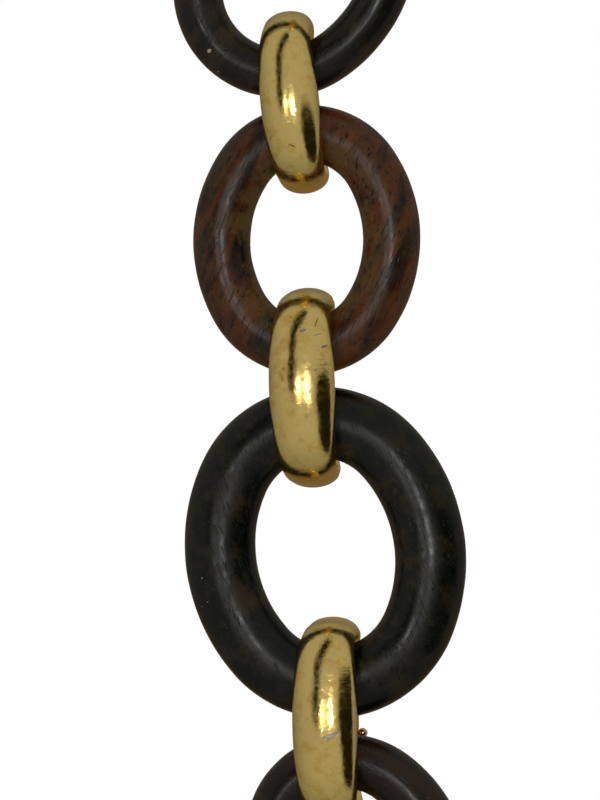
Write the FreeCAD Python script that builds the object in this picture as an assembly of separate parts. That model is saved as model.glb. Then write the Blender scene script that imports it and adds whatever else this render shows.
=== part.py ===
import FreeCAD, Part
import os
from math import atan2, cos, degrees, pi, radians, sin

# A link bracelet of five oval wooden links joined by five gilt links, opened out and hanging.
# Millimetres. +Z is up, +X is to the right seen from the front, the front faces -Y.
# The origin is the middle of the place where the clasp link hangs on a round peg.

V = FreeCAD.Vector
X_AXIS = V(1, 0, 0)
Y_AXIS = V(0, 1, 0)
Z_AXIS = V(0, 0, 1)
ORIGIN = V(0, 0, 0)

# Wooden links: outer width and height, thickness of the bar in the plane of the link and across it,
# where the middle of the link hangs, and how far its long axis leans to the right at the top (degrees).
WOOD_LINKS = {
    "wood_link_1": dict(width=28.6, height=33.7, bar=6.0, depth=6.7, x=-4.3, z=-26.9, lean=30),
    "wood_link_2": dict(width=27.5, height=32.6, bar=6.95, depth=7.0, x=-5.22, z=-60.45, lean=5),
    "wood_link_3": dict(width=33.9, height=40.1, bar=8.6, depth=7.4, x=-5.62, z=-98.0, lean=-5),
    "wood_link_4": dict(width=26.6, height=32.0, bar=6.7, depth=7.0, x=-4.1, z=-135.6, lean=-20),
    "wood_link_5": dict(width=28.0, height=33.6, bar=6.0, depth=6.7, x=-1.5, z=-171.3, lean=-8),
}
# The end arc of a wooden link's centre line, as a share of the centre line's half width.
WOOD_END_ROUNDNESS = 0.9

# Gilt links: outer length, width of the front face, and where and how they hang. The turn is about
# the link's own long axis. The two opening links have a gate in their back bar.
GILT_LINKS = {
    "gilt_link_1": dict(length=22.0, face=7.0, x=-5.2, z=-43.9, lean=-2, turn=-3),
    "gilt_link_2": dict(length=24.0, face=8.0, x=-6.0, z=-78.15, lean=2, turn=-4),
    "gilt_link_4": dict(length=23.2, face=7.6, x=-2.3, z=-152.45, lean=-3, turn=0),
}
OPENING_LINKS = {
    "clasp": dict(length=23.0, face=7.6, x=-0.6, z=-8.8, lean=4, turn=0),
    "midway_catch": dict(length=25.2, face=7.9, x=-5.9, z=-118.3, lean=3, turn=-6),
}

# Every gilt link has the same side view: an oval ring, thick and wide in front, slim at the back.
GILT_DEPTH = 14.2            # without the swell of the front face
GILT_BACK_WIDTH = 3.6
GILT_END_WIDTH_SHARE = 0.8   # the width at the two ends, as a share of the face
GILT_FRONT_THICKNESS = 3.0
GILT_END_THICKNESS = 2.6
GILT_BACK_THICKNESS = 2.5
GILT_FRONT_SWELL = 0.7       # how much thicker still the front is at mid height
GILT_CROWN_SHARE = 0.7       # the part of the thickness that lies outside the widest line
GILT_END_RADIUS = 5.3        # of the centre line at the two ends
GILT_QUARTER_STEPS = 6

# The gate of an opening link is the back bar between these heights. It hinges at the top on a pin
# through two lugs and an eye, and closes over a catch slot at the bottom.
HINGE_Z = 4.2
GATE_FOOT_Z = -4.0
FOOT_GAP = 0.12
KNUCKLE_RADIUS = 1.15
KNUCKLE_GAP = 0.12
EYE_WIDTH = 1.3
HINGE_SIDE_GAP = 0.08
PIN_RADIUS = 0.35
PIN_RUNNING_GAP = 0.05
PIN_LENGTH = 3.3
PIN_END_ROUND = 0.15
SLOT_WIDTH = 1.2
SLOT_DEPTH = 2.0
STOP_WALL = 0.55             # what is left of the bar in front of the catch slot

# The tongue is a strip folded into a U. The push ball squeezes its right leaf to let the gate go.
TONGUE_LEAF = 0.28
TONGUE_HALF_WIDTH = 0.54
TONGUE_BREADTH = 0.9
TONGUE_LENGTH = 4.5
TONGUE_BELOW_FOOT = 1.6
POCKET_RIGHT = 1.0
BALL_RADIUS = 0.6
BALL_X = 2.15
BALL_Z = -1.7
BALL_SEAT_GAP = 0.12
BALL_SEAT_FLOOR = 1.22
STEM_RADIUS = 0.25
STEM_GAP = 0.05
STEM_HEAD_X = 0.83
STEM_HEAD_RADIUS = 0.3
STEM_HEAD_THICKNESS = 0.14

# The limits of cutting blocks: in front of the back bar, and beyond any gilt part.
BACK_CUT_Y = 2.5
REACH = 12.0


class FourArcOval:
    """An upright oval of two end arcs and two side arcs that meet smoothly."""

    def __init__(self, half_width, half_height, end_radius):
        self.end_radius = end_radius
        self.end_centre = half_height - end_radius
        rise = self.end_centre
        self.side_radius = (half_width ** 2 + rise ** 2 - end_radius ** 2) / (2 * (half_width - end_radius))
        self.side_centre = self.side_radius - half_width
        self.join_angle = atan2(self.end_centre, self.side_centre)

    def centre_and_radius(self, angle):
        """The arc that holds the point whose outward normal is at this angle from sideways."""
        across = cos(angle)
        up = sin(angle)
        if abs(up) > sin(self.join_angle):
            side = 1 if up > 0 else -1
            return (0, side * self.end_centre), self.end_radius
        side = 1 if across > 0 else -1
        return (-side * self.side_centre, 0), self.side_radius

    def quarter_angles(self, steps):
        """Normal angles of evenly spaced points from the middle of a side to the middle of an end."""
        side_length = self.side_radius * self.join_angle
        end_length = self.end_radius * (pi / 2 - self.join_angle)
        angles = []
        for i in range(steps + 1):
            along = (side_length + end_length) * i / steps
            if along <= side_length:
                angles.append(along / self.side_radius)
            else:
                angles.append(self.join_angle + (along - side_length) / self.end_radius)
        return angles

    def point(self, angle):
        (centre_across, centre_up), radius = self.centre_and_radius(angle)
        return centre_across + radius * cos(angle), centre_up + radius * sin(angle)


def ellipse_face(middle, outward, across, outward_radius, across_radius):
    """An elliptical or round face in the plane of the two directions."""
    if outward_radius > across_radius:
        rim = Part.Ellipse(middle + outward * outward_radius, middle + across * across_radius, middle)
    elif outward_radius < across_radius:
        rim = Part.Ellipse(middle + across * across_radius, middle + outward * outward_radius, middle)
    else:
        rim = Part.Circle(middle, outward.cross(across), outward_radius)
    return Part.Face(Part.Wire([rim.toShape()]))


def wood_link(width, height, bar, depth):
    """A closed oval ring of elliptical section, turned from four arcs."""
    half_width = (width - bar) / 2
    half_height = (height - bar) / 2
    oval = FourArcOval(half_width, half_height, WOOD_END_ROUNDNESS * half_width)
    join = degrees(oval.join_angle)
    arcs = [
        (oval.side_centre * -1, 0, oval.side_radius, -join, 2 * join),
        (0, oval.end_centre, oval.end_radius, join, 180 - 2 * join),
        (oval.side_centre, 0, oval.side_radius, 180 - join, 2 * join),
        (0, -oval.end_centre, oval.end_radius, 180 + join, 180 - 2 * join),
    ]
    pieces = []
    for centre_x, centre_z, radius, start, sweep in arcs:
        centre = V(centre_x, 0, centre_z)
        outward = V(cos(radians(start)), 0, sin(radians(start)))
        section = ellipse_face(centre + outward * radius, outward, Y_AXIS, bar / 2, depth / 2)
        pieces.append(section.revolve(centre, Y_AXIS * -1, sweep))
    ring = pieces[0].fuse(pieces[1:])
    return ring.removeSplitter()


def towards_end(oval, angle):
    """How near a point of the middle line is to the end: 0 at mid height, 1 at the end."""
    return abs(oval.point(angle)[1]) / (oval.end_centre + oval.end_radius)


def gilt_width(oval, face, angle):
    """The full width: a leaf shape in front, a little slimmer at the ends, slim at the back."""
    end_width = GILT_END_WIDTH_SHARE * face
    if cos(angle) > 0:
        ends = sin(angle) ** 2
        return end_width * ends + GILT_BACK_WIDTH * (1 - ends)
    return end_width + (face - end_width) * (1 - towards_end(oval, angle) ** 2)


def gilt_thickness(angle):
    """The thickness runs smoothly from the front through the ends to the back."""
    ends = sin(angle) ** 2
    front_or_back = GILT_BACK_THICKNESS if cos(angle) > 0 else GILT_FRONT_THICKNESS
    return GILT_END_THICKNESS * ends + front_or_back * (1 - ends)


def gilt_swell(oval, angle):
    """How far the front face swells out: most at mid height, none at the ends, none at the back."""
    if cos(angle) > 0:
        return 0
    return GILT_FRONT_SWELL * (1 - towards_end(oval, angle) ** 2) ** 2


def gilt_section(oval, face, angle):
    """One section of a gilt link: a full crown outside and a shallow one inside."""
    y, z = oval.point(angle)
    outward = V(0, cos(angle), sin(angle))
    swell = gilt_swell(oval, angle)
    thickness = gilt_thickness(angle) + swell
    half_width = gilt_width(oval, face, angle) / 2
    crown = thickness * GILT_CROWN_SHARE
    belly = thickness - crown
    widest = V(0, y, z) + outward * ((thickness + swell) / 2 - crown)
    right = widest + X_AXIS * half_width
    left = widest - X_AXIS * half_width
    outer = half_ellipse(widest, right, outward * crown)
    inner = half_ellipse(widest, left, outward * -belly)
    return Part.Wire([outer, inner])


def half_ellipse(middle, start, rise):
    """Half an ellipse from start, round through the middle plus rise, to the point opposite start."""
    return Part.Ellipse(start, middle + rise, middle).toShape(0, pi)


def gilt_path(length):
    """The middle line of a gilt ring, seen from the side."""
    half_depth = (GILT_DEPTH - (GILT_FRONT_THICKNESS + GILT_BACK_THICKNESS) / 2) / 2
    half_length = (length - GILT_END_THICKNESS) / 2
    return FourArcOval(half_depth, half_length, GILT_END_RADIUS)


def gilt_ring(oval, face):
    """A closed gilt ring standing in the YZ plane, its wide face to the front."""
    quarter = oval.quarter_angles(GILT_QUARTER_STEPS)
    back_half = [-angle for angle in quarter[:0:-1]] + quarter
    front_half = [pi - angle for angle in back_half]
    back = Part.makeLoft([gilt_section(oval, face, angle) for angle in back_half], True)
    front = Part.makeLoft([gilt_section(oval, face, angle) for angle in front_half], True)
    return back.fuse(front)


def block(x_range, y_range, z_range):
    """A block between the given limits."""
    corner = V(x_range[0], y_range[0], z_range[0])
    return Part.makeBox(x_range[1] - x_range[0], y_range[1] - y_range[0], z_range[1] - z_range[0], corner)


def back_block(half_width, z_low, z_high):
    """A block round the back bar only, symmetrical about the link's middle plane."""
    return block((-half_width, half_width), (BACK_CUT_Y, REACH), (z_low, z_high))


def cross_rod(radius, x_low, x_high, y, z):
    """A rod along X."""
    return Part.makeCylinder(radius, x_high - x_low, V(x_low, y, z), X_AXIS)


def side_bar_y(oval, z):
    """Where the middle line of the back bar lies at this height."""
    return (oval.side_radius ** 2 - z ** 2) ** 0.5 - oval.side_centre


def plain_link(length, face):
    """A cast ring with a gap in its back bar, and the piece that is soldered into the gap."""
    ring = gilt_ring(gilt_path(length), face)
    gap = back_block(REACH, GATE_FOOT_Z, HINGE_Z)
    return {"": ring.cut(gap), "_closing_piece": ring.common(gap)}


def opening_body(ring, pin_y, foot_y):
    """The cast ring of an opening link, with two hinge lugs above and a catch slot below the gap."""
    lug_start = EYE_WIDTH / 2 + HINGE_SIDE_GAP
    gap = back_block(REACH, GATE_FOOT_Z - FOOT_GAP, HINGE_Z)
    lugs = ring.common(cross_rod(KNUCKLE_RADIUS, -REACH, REACH, pin_y, HINGE_Z))
    eye_reach = KNUCKLE_RADIUS + KNUCKLE_GAP
    eye_slot = back_block(lug_start, HINGE_Z - eye_reach, HINGE_Z + eye_reach)
    catch_slot = block(
        (-SLOT_WIDTH / 2, SLOT_WIDTH / 2),
        (foot_y - GILT_BACK_THICKNESS / 2 + STOP_WALL, REACH),
        (GATE_FOOT_Z - FOOT_GAP - SLOT_DEPTH, GATE_FOOT_Z),
    )
    pin_hole = cross_rod(PIN_RADIUS, -REACH, REACH, pin_y, HINGE_Z)
    return ring.cut(gap).fuse(lugs).cut([eye_slot, catch_slot, pin_hole])


def gate(ring, pin_y, ball_y, foot_y):
    """The slim back bar's swinging part: a hinge eye above, a pocket for the tongue and ball below."""
    half_eye = EYE_WIDTH / 2
    bar = ring.common(back_block(REACH, GATE_FOOT_Z, HINGE_Z))
    lug_room = cross_rod(KNUCKLE_RADIUS + KNUCKLE_GAP, -REACH, REACH, pin_y, HINGE_Z)
    lug_room = lug_room.cut(back_block(half_eye, HINGE_Z - REACH, HINGE_Z + REACH))
    eye = ring.common(cross_rod(KNUCKLE_RADIUS, -half_eye, half_eye, pin_y, HINGE_Z))
    pin_hole = cross_rod(PIN_RADIUS + PIN_RUNNING_GAP, -REACH, REACH, pin_y, HINGE_Z)
    tongue_y = tongue_range(foot_y)
    pocket = block((-TONGUE_HALF_WIDTH, POCKET_RIGHT), tongue_y, (GATE_FOOT_Z, tongue_top()))
    stem_hole = cross_rod(STEM_RADIUS + STEM_GAP, 0, REACH, ball_y, BALL_Z)
    ball_seat = cross_rod(BALL_RADIUS + BALL_SEAT_GAP, BALL_SEAT_FLOOR, REACH, ball_y, BALL_Z)
    return bar.cut(lug_room).fuse(eye).cut([pin_hole, pocket, stem_hole, ball_seat])


def hinge_pin(pin_y):
    """A plain pin pressed through the lugs, its ends rounded over."""
    pin = cross_rod(PIN_RADIUS, -PIN_LENGTH / 2, PIN_LENGTH / 2, pin_y, HINGE_Z)
    rims = [edge for edge in pin.Edges if abs(edge.CenterOfMass.x) > PIN_LENGTH / 2 - PIN_END_ROUND]
    return pin.makeFillet(PIN_END_ROUND, rims)


def tongue_range(foot_y):
    """The tongue's two faces, front and back."""
    return foot_y - TONGUE_BREADTH / 2, foot_y + TONGUE_BREADTH / 2


def tongue_top():
    return GATE_FOOT_Z - TONGUE_BELOW_FOOT + TONGUE_LENGTH


def tongue_spring(foot_y):
    """A strip folded into a narrow U, its fold downwards in the catch slot."""
    near, far = tongue_range(foot_y)
    fold_z = GATE_FOOT_Z - TONGUE_BELOW_FOOT + TONGUE_HALF_WIDTH
    legs = block((-TONGUE_HALF_WIDTH, TONGUE_HALF_WIDTH), (near, far), (fold_z, tongue_top()))
    fold = Part.makeCylinder(TONGUE_HALF_WIDTH, far - near, V(0, near, fold_z), Y_AXIS)
    inside = TONGUE_HALF_WIDTH - TONGUE_LEAF
    between = block((-inside, inside), (near, far), (fold_z, tongue_top()))
    eye = Part.makeCylinder(inside, far - near, V(0, near, fold_z), Y_AXIS)
    return legs.fuse(fold).cut([between, eye]).removeSplitter()


def push_ball(ball_y):
    """A ball on a short stem, kept in the gate by a flat head in the pocket."""
    ball = Part.makeSphere(BALL_RADIUS, V(BALL_X, ball_y, BALL_Z))
    stem = cross_rod(STEM_RADIUS, STEM_HEAD_X, BALL_X, ball_y, BALL_Z)
    head = cross_rod(STEM_HEAD_RADIUS, STEM_HEAD_X, STEM_HEAD_X + STEM_HEAD_THICKNESS, ball_y, BALL_Z)
    return ball.fuse([stem, head])


def opening_link(length, face):
    """Every piece of a link that opens at the back."""
    oval = gilt_path(length)
    ring = gilt_ring(oval, face)
    pin_y = side_bar_y(oval, HINGE_Z)
    ball_y = side_bar_y(oval, BALL_Z)
    foot_y = side_bar_y(oval, GATE_FOOT_Z)
    return {
        "_body": opening_body(ring, pin_y, foot_y),
        "_gate": gate(ring, pin_y, ball_y, foot_y),
        "_hinge_pin": hinge_pin(pin_y),
        "_tongue_spring": tongue_spring(foot_y),
        "_push_ball": push_ball(ball_y),
    }


def hang(shape, link):
    """Turns a piece about its link's long axis, leans it to the right, and moves it to its place."""
    hung = shape.copy()
    hung.rotate(ORIGIN, Z_AXIS, link.get("turn", 0))
    hung.rotate(ORIGIN, Y_AXIS, link["lean"])
    hung.translate(V(link["x"], 0, link["z"]))
    return hung


def strand():
    """Every piece in its place, by node name."""
    nodes = {}
    for name, link in WOOD_LINKS.items():
        ring = wood_link(link["width"], link["height"], link["bar"], link["depth"])
        nodes[name] = hang(ring, link)
    for name, link in GILT_LINKS.items():
        for suffix, piece in plain_link(link["length"], link["face"]).items():
            nodes[name + suffix] = hang(piece, link)
    for name, link in OPENING_LINKS.items():
        for suffix, piece in opening_link(link["length"], link["face"]).items():
            nodes[name + suffix] = hang(piece, link)
    return nodes


def main():
    os.makedirs("parts", exist_ok=True)
    for name, piece in strand().items():
        solid_count = len(piece.Solids)
        if solid_count != 1 or not piece.isValid():
            raise ValueError(f"{name} is not one sound solid: {solid_count}")
        piece.Solids[0].exportStep(f"parts/{name}.step")
        print(f"{name:30s} {piece.Volume:9.2f} mm3")


main()
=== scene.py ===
import math

import bpy
import numpy as np
from mathutils import Matrix, Vector, noise


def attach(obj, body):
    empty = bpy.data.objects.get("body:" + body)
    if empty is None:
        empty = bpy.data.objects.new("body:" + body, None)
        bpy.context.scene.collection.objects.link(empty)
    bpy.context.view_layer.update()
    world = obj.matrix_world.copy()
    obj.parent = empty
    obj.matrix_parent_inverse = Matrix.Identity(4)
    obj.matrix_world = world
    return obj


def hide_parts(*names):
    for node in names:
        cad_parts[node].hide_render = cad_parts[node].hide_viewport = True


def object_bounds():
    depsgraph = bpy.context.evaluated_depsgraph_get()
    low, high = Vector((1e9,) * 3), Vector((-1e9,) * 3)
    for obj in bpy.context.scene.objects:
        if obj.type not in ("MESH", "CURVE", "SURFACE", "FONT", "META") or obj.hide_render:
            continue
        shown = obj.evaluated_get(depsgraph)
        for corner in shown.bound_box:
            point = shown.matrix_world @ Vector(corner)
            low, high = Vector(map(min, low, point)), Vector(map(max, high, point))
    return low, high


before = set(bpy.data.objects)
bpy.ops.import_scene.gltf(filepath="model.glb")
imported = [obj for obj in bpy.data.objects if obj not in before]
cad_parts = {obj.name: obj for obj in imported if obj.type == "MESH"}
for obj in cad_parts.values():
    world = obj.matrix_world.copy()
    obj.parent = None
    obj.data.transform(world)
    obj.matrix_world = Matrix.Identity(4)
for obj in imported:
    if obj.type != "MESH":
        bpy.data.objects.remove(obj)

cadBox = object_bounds()
mm = 0.001
throughAll = 1e6        # a mark's size from front to back, in mm, far beyond any link


# ---- small helpers

def linear(hexColour):
    # sRGB hex to the linear values that a shader takes
    parts = [int(hexColour[i:i + 2], 16) / 255 for i in (1, 3, 5)]
    curved = [p / 12.92 if p <= 0.04045 else ((p + 0.055) / 1.055) ** 2.4 for p in parts]
    return (*curved, 1.0)


def addNode(tree, kind, settings=None, values=None, links=None):
    # one node: its settings, the values on its sockets, and what feeds them
    node = tree.nodes.new(kind)
    for name, value in (settings or {}).items():
        setattr(node, name, value)
    for name, value in (values or {}).items():
        node.inputs[name].default_value = value
    for name, source in (links or {}).items():
        tree.links.new(source, node.inputs[name])
    return node


def newMaterial(name):
    material = bpy.data.materials.new(name)
    material.use_nodes = True
    tree = material.node_tree
    tree.nodes.clear()
    return material, tree


def addRamp(tree, source, stops):
    # stops: places from 0 to 1 with their colours
    ramp = addNode(tree, "ShaderNodeValToRGB", links={"Fac": source})
    ramp.color_ramp.interpolation = "EASE"
    while len(ramp.color_ramp.elements) < len(stops):
        ramp.color_ramp.elements.new(0.5)
    for element, (place, colour) in zip(ramp.color_ramp.elements, stops):
        element.position = place
        element.color = colour
    return ramp.outputs["Color"]


def grey(value):
    return (value, value, value, 1.0)


def markMask(tree, inMm, marks, ragged):
    # 1 on small ovals of the front face, 0 elsewhere; each mark is its middle (across, up), half
    # sizes and how far its right end is raised, in mm and degrees; ragged is how torn its edges are
    depth = addNode(tree, "ShaderNodeSeparateXYZ", links={0: inMm}).outputs["Y"]
    front = addNode(tree, "ShaderNodeMath", {"operation": "LESS_THAN"}, {1: 0.0},
                    {0: depth}).outputs[0]
    edge = addNode(tree, "ShaderNodeTexNoise", values={"Scale": 1 / 0.3, "Detail": 3.0},
                   links={"Vector": inMm}).outputs["Fac"]
    masks = []
    for (across, up), (halfLong, halfThin), lean in marks:
        local = addNode(tree, "ShaderNodeMapping", {"vector_type": "TEXTURE"},
                        {"Location": (across, 0, up), "Rotation": (0, -math.radians(lean), 0),
                         "Scale": (halfLong, throughAll, halfThin)},
                        {"Vector": inMm}).outputs["Vector"]
        away = addNode(tree, "ShaderNodeVectorMath", {"operation": "LENGTH"}, {},
                       {0: local}).outputs["Value"]
        rough = addNode(tree, "ShaderNodeMath", {"operation": "MULTIPLY_ADD"}, {1: ragged},
                        {0: edge, 2: away}).outputs[0]
        mark = addNode(tree, "ShaderNodeMapRange",
                       values={"From Min": 0.85 + ragged / 2, "From Max": 1.15 + ragged / 2,
                               "To Min": 1.0, "To Max": 0.0},
                       links={"Value": rough}).outputs["Result"]
        masks.append(mark)
    total = masks[0]
    for mark in masks[1:]:
        total = addNode(tree, "ShaderNodeMath", {"operation": "MAXIMUM"}, {},
                        {0: total, 1: mark}).outputs[0]
    return addNode(tree, "ShaderNodeMath", {"operation": "MULTIPLY"}, {},
                   {0: total, 1: front}).outputs[0]


def mixColour(tree, mask, base, colour):
    mixed = addNode(tree, "ShaderNodeMix", {"data_type": "RGBA"}, {7: colour}, {0: mask, 6: base})
    return mixed.outputs[2]


# ---- reading the links' places from the frame

def linkFrame(nodeName):
    # the link's own axes (across, deep, long) and its half sizes, from how its surface is spread;
    # faces count by their area, so that dense stretches of mesh don't weigh more
    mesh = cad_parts[nodeName].data
    corners = np.array([v.co for v in mesh.vertices])
    middles = np.array([face.center for face in mesh.polygons])
    areas = np.array([face.area for face in mesh.polygons])
    centre = (middles * areas[:, None]).sum(0) / areas.sum()
    spread = (middles - centre) * np.sqrt(areas)[:, None]
    axes = np.linalg.eigh(spread.T @ spread)[1].T
    longAxis = max(axes, key=lambda a: abs(a[2]))
    deepAxis = max(axes, key=lambda a: abs(a[1]))
    longAxis = longAxis * np.sign(longAxis[2])
    deepAxis = deepAxis * np.sign(deepAxis[1])
    acrossAxis = np.cross(deepAxis, longAxis)
    turn = np.array([acrossAxis, deepAxis, longAxis])
    local = corners @ turn.T
    low, high = local.min(0), local.max(0)
    middle = turn.T @ ((low + high) / 2)
    matrix = Matrix.Translation(Vector(middle)) @ Matrix(turn.T.tolist()).to_4x4()
    return matrix, (high - low) / 2


# ---- rings on a four arc oval

class FourArcOval:
    def __init__(self, halfWide, halfTall, endRadius):
        self.endRadius = endRadius
        self.endCentre = halfTall - endRadius
        squares = halfWide ** 2 + self.endCentre ** 2 - endRadius ** 2
        self.sideRadius = squares / (2 * (halfWide - endRadius))
        self.sideCentre = self.sideRadius - halfWide
        self.joinAngle = math.atan2(self.endCentre, self.sideCentre)

    def point(self, angle):
        across, up = math.cos(angle), math.sin(angle)
        if abs(up) > math.sin(self.joinAngle):
            centre = math.copysign(self.endCentre, up)
            return self.endRadius * across, centre + self.endRadius * up
        centre = math.copysign(self.sideCentre, -across)
        return centre + self.sideRadius * across, self.sideRadius * up

    def evenAngles(self, steps):
        # normal angles of points evenly spaced right round, from the middle of the +side
        side = self.sideRadius * self.joinAngle
        quarter = side + self.endRadius * (math.pi / 2 - self.joinAngle)
        angles = []
        for i in range(steps):
            along = 4 * quarter * i / steps
            turns, rest = divmod(along, 2 * quarter)
            mirrored = rest > quarter
            rest = 2 * quarter - rest if mirrored else rest
            if rest <= side:
                angle = rest / self.sideRadius
            else:
                angle = self.joinAngle + (rest - side) / self.endRadius
            angle = math.pi - angle if mirrored else angle
            angles.append(angle + turns * math.pi)
        return angles


def ringMesh(name, rings):
    # rings: a list of rows of points, joined row to row and the last row to the first
    rows, columns = len(rings), len(rings[0])
    points = [p for row in rings for p in row]
    faces = []
    for i in range(rows):
        for j in range(columns):
            k = (j + 1) % columns
            n = (i + 1) % rows
            faces.append((i * columns + j, i * columns + k, n * columns + k, n * columns + j))
    mesh = bpy.data.meshes.new(name)
    mesh.from_pydata(points, [], faces)
    mesh.update()
    mesh.polygons.foreach_set("use_smooth", [True] * len(faces))
    return mesh


def place(name, mesh, material, body, replaced, slot):
    piece = bpy.data.objects.new(name, mesh)
    bpy.context.scene.collection.objects.link(piece)
    mesh.materials.append(material)
    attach(piece, body)
    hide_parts(*replaced)
    return piece


# ---- wood

# Colours run from the pores through the ground to the streaks. The pale colour is dry wood where the
# wax has gone and, inside the hole, painted bounced light as well. wearAndBounce is how far the pale
# patches spread, paleOutside their share outside the hole, and grainLean how far the grain leans to
# the right at the top, in degrees. Cracks and chips are given where they lie on the strand.
woods = {
    "wood_link_1": dict(
        pore="#060504", ground="#13130a", streak="#2a2112", wornAndBounceLit="#3f3015",
        wearAndBounce=0.03, paleOutside=0.25, grainLean=12, seed=11,
        chips=[((-15.0, -37.1), (0.26, 0.2), 30), ((-14.2, -39.6), (0.07, 0.05), 0)]),
    "wood_link_2": dict(
        pore="#100804", ground="#572a10", streak="#1a1007", wornAndBounceLit="#5c451b",
        wearAndBounce=0.09, paleOutside=0.25, grainLean=22, seed=23),
    "wood_link_3": dict(
        pore="#030403", ground="#030904", streak="#0e1209", wornAndBounceLit="#33270c",
        wearAndBounce=0.05, paleOutside=0.4, grainLean=-14, seed=37,
        cracks=[((-17.2, -101.4), (0.05, 2.9), 1), ((-16.8, -103.6), (0.04, 1.3), 8),
                ((-17.9, -106.4), (0.04, 1.0), -14)],
        chips=[((-20.3, -100.0), (0.09, 0.07), 0), ((-19.8, -102.9), (0.06, 0.06), 0),
               ((-20.6, -103.4), (0.05, 0.04), 0)]),
    "wood_link_4": dict(
        pore="#070503", ground="#160f07", streak="#2b1a0b", wornAndBounceLit="#33250c",
        wearAndBounce=0.04, paleOutside=0.2, grainLean=-25, seed=41),
    "wood_link_5": dict(
        pore="#060504", ground="#17130c", streak="#281e12", wornAndBounceLit="#3d3017",
        wearAndBounce=0.04, paleOutside=0.2, grainLean=8, seed=59),
}
unmarked = [((0, 500), (0.01, 0.01), 0)]      # for a link without cracks or chips: far off, no size
woodShape = dict(
    endRoundness=0.9,       # end arc of the middle line, as a share of its half width
    around=320, across=96,  # points round the link and round its bar
    fullness=2.04,          # 2 is an ellipse, more is squarer
    handUneven=0.07 * mm,   # how far the carving wanders from true
    slow=7 * mm, quick=3 * mm,      # how long the two waves of that wander are
)


def woodHoleHalf(nodeName, matrix):
    # half the hole's width, from the points within 1 mm of the link's middle height
    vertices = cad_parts[nodeName].data.vertices
    local = np.array([(matrix.inverted() @ v.co)[:] for v in vertices])
    nearMiddle = local[np.abs(local[:, 2]) < 1.0 * mm]
    return np.abs(nearMiddle[:, 0]).min()


def squared(share, power):
    # a sine or cosine drawn towards the corners, its sign kept
    return math.copysign(abs(share) ** power, share)


def woodLinkMesh(nodeName, matrix, half, seed):
    bar = half[0] - woodHoleHalf(nodeName, matrix)
    halfWide, halfTall = half[0] - bar / 2, half[2] - bar / 2
    oval = FourArcOval(halfWide, halfTall, woodShape["endRoundness"] * halfWide)
    power = 2 / woodShape["fullness"]
    rings = []
    holeSide = []
    for angle in oval.evenAngles(woodShape["around"]):
        x, z = oval.point(angle)
        row = []
        for j in range(woodShape["across"]):
            t = 2 * math.pi * j / woodShape["across"]
            outward = squared(math.cos(t), power) * bar / 2
            deep = squared(math.sin(t), power) * half[1]
            p = Vector((x + outward * math.cos(angle), deep, z + outward * math.sin(angle)))
            # the wander always goes inwards, so that the link stays in its envelope
            wander = noise.noise(p / woodShape["slow"] + Vector((seed, 0, 0))) * 0.7
            wander += noise.noise(p / woodShape["quick"] + Vector((0, seed, 0))) * 0.3
            cut = woodShape["handUneven"] * (wander - 0.8)
            inPlane = math.cos(t)
            normal = Vector((inPlane * math.cos(angle), math.sin(t), inPlane * math.sin(angle)))
            row.append(p + normal * cut)
            holeSide.append(max(0.0, -inPlane))
        rings.append(row)
    mesh = ringMesh(nodeName, rings)
    mesh.attributes.new("holeSide", "FLOAT", "POINT").data.foreach_set("value", holeSide)
    # the place in the link's own frame, in mm, for the grain and the marks
    linkPlace = [c / mm for p in mesh.vertices for c in p.co]
    mesh.attributes.new("linkPlace", "FLOAT_VECTOR", "POINT").data.foreach_set("vector", linkPlace)
    mesh.transform(matrix)
    return mesh


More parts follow.
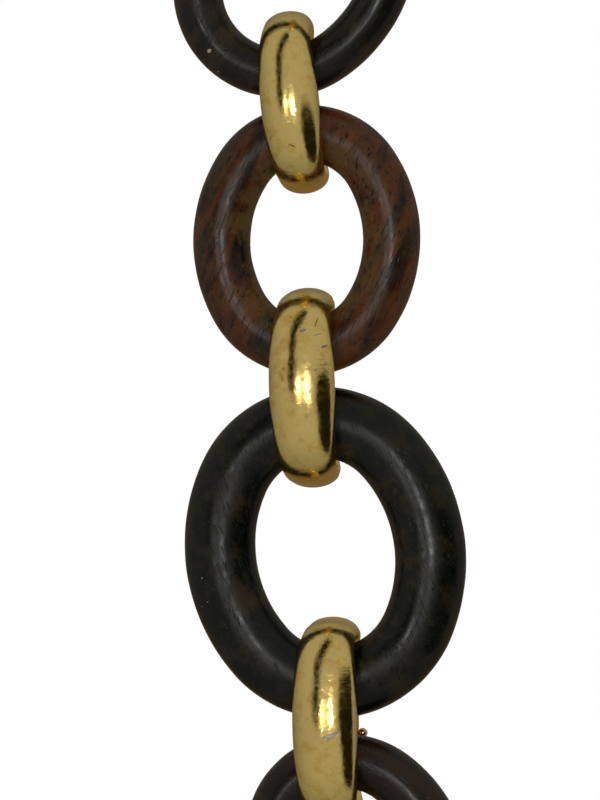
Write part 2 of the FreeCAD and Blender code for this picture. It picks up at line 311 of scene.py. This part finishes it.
def waxedHardwood(name, look):
    # Oiled and waxed tropical hardwood: a near black ground, streaks along the grain, short open
    # pores that break the highlight, and a satin film of wax that is thinner inside the hole.
    material, tree = newMaterial("waxedHardwood_" + name)
    inPlace = addNode(tree, "ShaderNodeAttribute", {"attribute_name": "linkPlace"}).outputs["Vector"]
    upright = addNode(tree, "ShaderNodeMapping",
                      values={"Rotation": (0, -math.radians(look["grainLean"]), 0),
                              "Location": (look["seed"], look["seed"] * 0.7, 0)},
                      links={"Vector": inPlace}).outputs["Vector"]

    # growth figure: bands about 2.5 mm wide that run 25 mm along the grain
    figureMap = addNode(tree, "ShaderNodeMapping", values={"Scale": (1 / 2.5, 1 / 4, 1 / 25)},
                        links={"Vector": upright}).outputs["Vector"]
    figure = addNode(tree, "ShaderNodeTexNoise",
                     values={"Scale": 1.0, "Detail": 4.0, "Roughness": 0.55, "Distortion": 0.6},
                     links={"Vector": figureMap}).outputs["Fac"]
    # fibres: 0.25 mm wide, 6 mm long
    fibreMap = addNode(tree, "ShaderNodeMapping", values={"Scale": (1 / 0.25, 1 / 0.25, 1 / 6)},
                       links={"Vector": upright}).outputs["Vector"]
    fibre = addNode(tree, "ShaderNodeTexNoise",
                    values={"Scale": 1.0, "Detail": 3.0, "Roughness": 0.6},
                    links={"Vector": fibreMap}).outputs["Fac"]
    # pores: the deepest dips of a noise of 0.22 by 2.4 mm, so each shows about 0.12 mm wide, drawn
    # coarser than the real 0.08 mm
    poreMap = addNode(tree, "ShaderNodeMapping", values={"Scale": (1 / 0.22, 1 / 0.22, 1 / 2.4)},
                      links={"Vector": upright}).outputs["Vector"]
    poreNoise = addNode(tree, "ShaderNodeTexNoise",
                        values={"Scale": 1.0, "Detail": 1.0, "Roughness": 0.4},
                        links={"Vector": poreMap}).outputs["Fac"]
    pore = addRamp(tree, poreNoise, [(0.0, grey(1)), (0.29, grey(1)), (0.37, grey(0))])

    ground = addRamp(tree, figure, [(0.36, linear(look["streak"])), (0.60, linear(look["ground"]))])
    fibreTone = addRamp(tree, fibre, [(0.25, grey(0.6)), (0.75, grey(1.0))])
    fibred = addNode(tree, "ShaderNodeMix", {"data_type": "RGBA", "blend_type": "MULTIPLY"},
                     {0: 0.7}, {6: ground, 7: fibreTone}).outputs[2]

    # pale patches, mostly inside the hole: dry wood shows paler where the wax has gone, and inside
    # the hole the paleness is also painted bounced light
    wornAndBounceNoise = addNode(tree, "ShaderNodeTexNoise",
                        values={"Scale": 1 / 4.5, "Detail": 7.0, "Roughness": 0.7},
                        links={"Vector": upright}).outputs["Fac"]
    holeSide = addNode(tree, "ShaderNodeAttribute", {"attribute_name": "holeSide"}).outputs["Fac"]
    # the hole side is lifted towards the pale colour: partly dry wood, partly painted bounced light
    inHole = addNode(tree, "ShaderNodeMapRange",
                     values={"To Min": look["paleOutside"], "To Max": 1.0},
                     links={"Value": holeSide}).outputs["Result"]
    wornAndBounceRamp = addRamp(tree, wornAndBounceNoise,
                       [(0.52 - look["wearAndBounce"], grey(0)), (0.66 - look["wearAndBounce"], grey(1))])
    wornAndBounceMask = addNode(tree, "ShaderNodeMath", {"operation": "MULTIPLY"}, {},
                       {0: wornAndBounceRamp, 1: inHole}).outputs[0]
    # the pale colour: dry wood where the wax has gone, and painted bounced light inside the hole
    colour = mixColour(tree, wornAndBounceMask, fibred, linear(look["wornAndBounceLit"]))
    colour = mixColour(tree, pore, colour, linear(look["pore"]))

    # cracks are open to 0.3 mm deep; chips show dry, dusty wood
    cracks = markMask(tree, inPlace, look.get("cracks", unmarked), 0.5)
    colour = mixColour(tree, cracks, colour, linear("#050403"))
    chips = markMask(tree, inPlace, look.get("chips", unmarked), 0.8)
    colour = mixColour(tree, chips, colour, linear("#a89a7e"))

    # satin wax, rubbed unevenly
    rubNoise = addNode(tree, "ShaderNodeTexNoise", values={"Scale": 1 / 1.8, "Detail": 4.0},
                       links={"Vector": upright}).outputs["Fac"]
    rubbed = addRamp(tree, rubNoise, [(0.3, grey(0.22)), (0.75, grey(0.36))])
    rough = addNode(tree, "ShaderNodeMath", {"operation": "MULTIPLY_ADD"}, {1: 0.2},
                    {0: wornAndBounceMask, 2: rubbed}).outputs[0]

    # fibres stand 0.008 mm proud, pores are 0.03 mm deep
    crackHeight = addNode(tree, "ShaderNodeMath", {"operation": "MULTIPLY"}, {1: -0.3},
                          {0: cracks}).outputs[0]
    poreHeight = addNode(tree, "ShaderNodeMath", {"operation": "MULTIPLY_ADD"}, {1: -0.03},
                         {0: pore, 2: crackHeight}).outputs[0]
    height = addNode(tree, "ShaderNodeMath", {"operation": "MULTIPLY_ADD"}, {1: 0.008},
                     {0: fibre, 2: poreHeight}).outputs[0]
    bump = addNode(tree, "ShaderNodeBump", values={"Strength": 0.8, "Distance": mm},
                   links={"Height": height}).outputs["Normal"]
    # open grain hides a part of the sheen
    shader = addNode(tree, "ShaderNodeBsdfPrincipled",
                     values={"IOR": 1.42, "Specular IOR Level": 0.4},
                     links={"Base Color": colour, "Roughness": rough, "Normal": bump})
    addNode(tree, "ShaderNodeOutputMaterial", links={"Surface": shader.outputs[0]})
    return material


def inLinkFrame(marks, matrix):
    # marks given on the strand, moved to the link's own middle and lean
    lean = math.degrees(matrix.to_euler().y)
    moved = []
    for middle, half, tilt in marks:
        own = matrix.inverted() @ Vector((middle[0] * mm, 0, middle[1] * mm))
        moved.append(((own.x / mm, own.z / mm), half, tilt + lean))
    return moved


def makeWoodLinks():
    for name, look in woods.items():
        matrix, half = linkFrame(name)
        for marks in ("cracks", "chips"):
            if marks in look:
                look[marks] = inLinkFrame(look[marks], matrix)
        mesh = woodLinkMesh(name, matrix, half, look["seed"])
        place(name + "_carved", mesh, waxedHardwood(name, look), name, [name], name)
        print("wood link", name, [round(float(h) * 2000, 2) for h in half])


# ---- gilt

gilt = dict(
    colour="#f5d885", deep="#e9c468", dull="#a5854a",
    bare="#a8a498", scratchTone="#3a2c14",      # under a knock, in a scratch
    roughness=0.1, smeared=0.16,          # where clean, and how much rougher where handled
    # knocks that went through the gilding: middle (across, up), half sizes and lean, in mm and
    # degrees on the strand
    knocks=[
        ((-5.65, -71.3), (0.42, 0.16), 25),
        ((-3.2, -73.4), (0.34, 0.13), 20),
        ((-4.3, -76.1), (0.14, 0.12), 0),
        ((-5.6, -119.65), (1.0, 0.25), 8),
        ((-5.0, -119.5), (0.45, 0.2), 25),
        ((-3.9, -71.9), (0.4, 0.03), 14),
    ],
    scratches=[
        ((-5.3, -49.3), (0.5, 0.06), -28),
        ((-7.9, -48.2), (0.35, 0.04), 60),
        ((-4.0, -70.4), (0.05, 0.5), -20),
    ],
)


def polishedGilt():
    # Gilt brass, cast, filed and buffed: warm yellow, mirror bright but softened by fine buffing
    # lines and years of handling, with slow dents that bend the reflections.
    material, tree = newMaterial("polishedGilt")
    place3d = addNode(tree, "ShaderNodeTexCoord").outputs["Object"]
    inMm = addNode(tree, "ShaderNodeMapping", values={"Scale": (1000, 1000, 1000)},
                   links={"Vector": place3d}).outputs["Vector"]
    # buffing lines: 0.09 mm apart across the link, drawn coarser than the real 0.02 mm
    lineMap = addNode(tree, "ShaderNodeMapping", values={"Scale": (1 / 4, 1 / 4, 1 / 0.09)},
                      links={"Vector": inMm}).outputs["Vector"]
    lines = addNode(tree, "ShaderNodeTexNoise",
                    values={"Scale": 1.0, "Detail": 3.0, "Distortion": 0.1},
                    links={"Vector": lineMap}).outputs["Fac"]
    # the file and the buff left the face slightly uneven, in waves about 3 mm long
    waves = addNode(tree, "ShaderNodeTexNoise",
                    values={"Scale": 1 / 3.0, "Detail": 9.0, "Roughness": 0.6},
                    links={"Vector": inMm}).outputs["Fac"]
    # tarnish in patches of about 1.6 mm
    tarnish = addNode(tree, "ShaderNodeTexNoise",
                      values={"Scale": 1 / 1.6, "Detail": 7.0, "Roughness": 0.68},
                      links={"Vector": inMm}).outputs["Fac"]
    colour = addRamp(tree, tarnish, [(0.26, linear(gilt["dull"])), (0.36, linear(gilt["deep"])),
                                     (0.52, linear(gilt["colour"]))])
    knocked = markMask(tree, inMm, gilt["knocks"], 0.9)
    colour = mixColour(tree, knocked, colour, linear(gilt["bare"]))
    # scratches, drawn as thin dark brown lines
    scratched = markMask(tree, inMm, gilt["scratches"], 0.7)
    colour = mixColour(tree, scratched, colour, linear(gilt["scratchTone"]))
    # smears of handling, 0.7 mm across; a knock is matt
    smear = addNode(tree, "ShaderNodeTexNoise",
                    values={"Scale": 1 / 0.7, "Detail": 5.0, "Roughness": 0.6},
                    links={"Vector": inMm}).outputs["Fac"]
    rough = addRamp(tree, smear, [(0.35, grey(gilt["roughness"])),
                                  (0.75, grey(gilt["roughness"] + gilt["smeared"]))])
    rough = mixColour(tree, knocked, rough, grey(0.42))
    # a knock is 0.7 of a wave's height deep, about 0.05 mm
    surface = addNode(tree, "ShaderNodeMath", {"operation": "MULTIPLY_ADD"}, {1: -0.7},
                      {0: knocked, 2: waves}).outputs[0]
    uneven = addNode(tree, "ShaderNodeBump", values={"Strength": 1.0, "Distance": 0.065 * mm},
                     links={"Height": surface}).outputs["Normal"]
    bump = addNode(tree, "ShaderNodeBump", values={"Strength": 1.0, "Distance": 0.009 * mm},
                   links={"Height": lines, "Normal": uneven}).outputs["Normal"]
    shader = addNode(tree, "ShaderNodeBsdfPrincipled", values={"Metallic": 1.0},
                     links={"Base Color": colour, "Roughness": rough, "Normal": bump})
    addNode(tree, "ShaderNodeOutputMaterial", links={"Surface": shader.outputs[0]})
    return material


def springSteel():
    # Hardened strip steel, bright rolled: a cool grey glint inside the gate, streaked up and down
    material, tree = newMaterial("springSteel")
    place3d = addNode(tree, "ShaderNodeTexCoord").outputs["Object"]
    # rolling lines: 0.05 mm wide, 1.25 mm long
    rolling = addNode(tree, "ShaderNodeMapping", values={"Scale": (20000, 20000, 800)},
                      links={"Vector": place3d}).outputs["Vector"]
    lines = addNode(tree, "ShaderNodeTexNoise", values={"Scale": 1.0},
                    links={"Vector": rolling}).outputs["Fac"]
    rough = addRamp(tree, lines, [(0.3, grey(0.25)), (0.7, grey(0.4))])
    shader = addNode(tree, "ShaderNodeBsdfPrincipled",
                     values={"Metallic": 1.0, "Base Color": linear("#b8b6b0")},
                     links={"Roughness": rough})
    addNode(tree, "ShaderNodeOutputMaterial", links={"Surface": shader.outputs[0]})
    return material


def dressCadNodes():
    giltMaterial, steelMaterial = polishedGilt(), springSteel()
    for name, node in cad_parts.items():
        if name in woods:
            continue
        material = steelMaterial if name.endswith("tongue_spring") else giltMaterial
        node.data.materials.clear()
        node.data.materials.append(material)
    print("gilt and steel nodes dressed", len(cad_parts) - len(woods))


# ---- floor, light and camera

# Angles are in degrees, 0 straight in front and positive to the right or up. Distances and sizes
# are in mm, the power of a lamp in watts.
studio = dict(
    viewCentre=(-7.37, 0, -79.53), viewHeight=96, azimuth=7, roll=4, distance=800,
    roomBehind=0.19, roomFront=0.42,     # brightness of the room behind and in front of the strand
    roomTowards=(0.1, -0.8, 0.45),       # where the room is brightest
    lamps={
        "lampLeft": dict(azimuth=-13, elevation=1, distance=1100, size=(45, 55), power=0.5),
        "lampRight": dict(azimuth=6, elevation=1, distance=1100, size=(50, 65), power=1.1),
        "overhead": dict(azimuth=0, elevation=84, distance=1500, size=(1700, 1700), power=8),
    },
    # corners of the black cards, as azimuth and elevation
    cards={
        "stand": dict(distance=1300, corners=[(-37, 2), (-22, -6), (-17, 36), (0, 58), (22, 70),
                                              (-2, 80), (-34, 62)]),
        "apron": dict(distance=260, corners=[(27, -2), (36, 8), (60, 9), (90, 2), (92, -36),
                                             (74, -44), (48, -42), (33, -26)]),
    },
    floorBelow=60, floorReach=1600,
)


def aroundCentre(azimuth, elevation, distance):
    a, e = math.radians(azimuth), math.radians(elevation)
    direction = Vector((math.sin(a) * math.cos(e), -math.cos(a) * math.cos(e), math.sin(e)))
    return (Vector(studio["viewCentre"]) + distance * direction) * mm


def softLamp(name, look):
    light = bpy.data.lights.new(name, "AREA")
    light.shape = "ELLIPSE"
    light.size, light.size_y = [side * mm for side in look["size"]]
    light.energy = look["power"]
    lamp = bpy.data.objects.new(name, light)
    bpy.context.scene.collection.objects.link(lamp)
    lamp.location = aroundCentre(look["azimuth"], look["elevation"], look["distance"])
    towards = Vector(studio["viewCentre"]) * mm - lamp.location
    lamp.rotation_euler = towards.to_track_quat("-Z", "Y").to_euler()
    lamp.visible_camera = False
    lamp.visible_glossy = name != "overhead"      # the overhead lamp only fills
    return lamp


def stageSheet(name, corners, colour, roughness):
    # a flat sheet of matt paper or board that isn't part of the object
    mesh = bpy.data.meshes.new(name)
    mesh.from_pydata(corners, [], [tuple(range(len(corners)))])
    sheet = bpy.data.objects.new(name, mesh)
    bpy.context.scene.collection.objects.link(sheet)
    material, tree = newMaterial(name + "Surface")
    shader = addNode(tree, "ShaderNodeBsdfPrincipled",
                     values={"Base Color": linear(colour), "Roughness": roughness})
    addNode(tree, "ShaderNodeOutputMaterial", links={"Surface": shader.outputs[0]})
    mesh.materials.append(material)
    return sheet


def makeRoom():
    # brightest in front of the strand and above it, and a little warmer behind and below
    scene = bpy.context.scene
    scene.view_settings.view_transform = "Standard"
    scene.world = bpy.data.worlds.new("studio")
    scene.world.use_nodes = True
    tree = scene.world.node_tree
    tree.nodes.clear()
    rays = addNode(tree, "ShaderNodeLightPath")
    direction = addNode(tree, "ShaderNodeTexCoord").outputs["Generated"]
    towards = addNode(tree, "ShaderNodeVectorMath", {"operation": "DOT_PRODUCT"},
                      {1: studio["roomTowards"]}, {0: direction}).outputs["Value"]
    share = addNode(tree, "ShaderNodeMapRange", {"interpolation_type": "SMOOTHSTEP"},
                    {"From Min": -0.95, "From Max": 0.75}, {"Value": towards}).outputs["Result"]
    tone = addNode(tree, "ShaderNodeMapRange",
                   values={"To Min": studio["roomBehind"], "To Max": studio["roomFront"]},
                   links={"Value": share}).outputs["Result"]
    tint = addRamp(tree, share, [(0.0, linear("#ffdfb4")), (0.3, linear("#fffcf6"))])
    room = addNode(tree, "ShaderNodeBackground", links={"Color": tint, "Strength": tone})
    backdrop = addNode(tree, "ShaderNodeBackground", values={"Color": grey(1), "Strength": 1.0})
    shown = addNode(tree, "ShaderNodeMixShader",
                    links={0: rays.outputs["Is Camera Ray"], 1: room.outputs[0],
                           2: backdrop.outputs[0]})
    addNode(tree, "ShaderNodeOutputWorld", links={"Surface": shown.outputs[0]})


def makeStudio():
    makeRoom()
    for name, look in studio["lamps"].items():
        softLamp(name, look)
    for name, look in studio["cards"].items():
        corners = [aroundCentre(a, e, look["distance"]) for a, e in look["corners"]]
        card = stageSheet(name, corners, "#1c1812", 0.9)
        # seen only as a dark shape in the polished gilt
        card.visible_camera = card.visible_shadow = card.visible_diffuse = False
    low = cadBox[0][2] - studio["floorBelow"] * mm
    r = studio["floorReach"] * mm
    corners = [(-r, -r, low), (r, -r, low), (r, r, low), (-r, r, low)]
    floor = stageSheet("floor", corners, "#f7f6f4", 0.8)
    floor.visible_glossy = False      # so that it doesn't glare in the undersides of the gilt
    print("studio", len(studio["lamps"]), "lamps", len(studio["cards"]), "cards")


def makeCamera():
    azimuth, roll = math.radians(studio["azimuth"]), math.radians(studio["roll"])
    centre = Vector(studio["viewCentre"]) * mm
    towards = Vector((-math.sin(azimuth), math.cos(azimuth), 0))
    level = Vector((math.cos(azimuth), math.sin(azimuth), 0))
    up = Vector((0, 0, 1))
    right = level * math.cos(roll) - up * math.sin(roll)
    top = up * math.cos(roll) + level * math.sin(roll)
    data = bpy.data.cameras.new("camera")
    data.sensor_fit = "VERTICAL"
    data.sensor_height = 24
    data.lens = data.sensor_height * studio["distance"] / studio["viewHeight"]
    data.clip_start = 0.01
    camera = bpy.data.objects.new("camera", data)
    bpy.context.scene.collection.objects.link(camera)
    turned = Matrix((right, top, -towards)).transposed().to_4x4()
    camera.matrix_world = Matrix.Translation(centre - towards * studio["distance"] * mm) @ turned
    bpy.context.scene.camera = camera
    print("camera", round(data.lens, 1), "mm lens at", studio["distance"], "mm")


makeWoodLinks()
dressCadNodes()
makeStudio()
makeCamera()
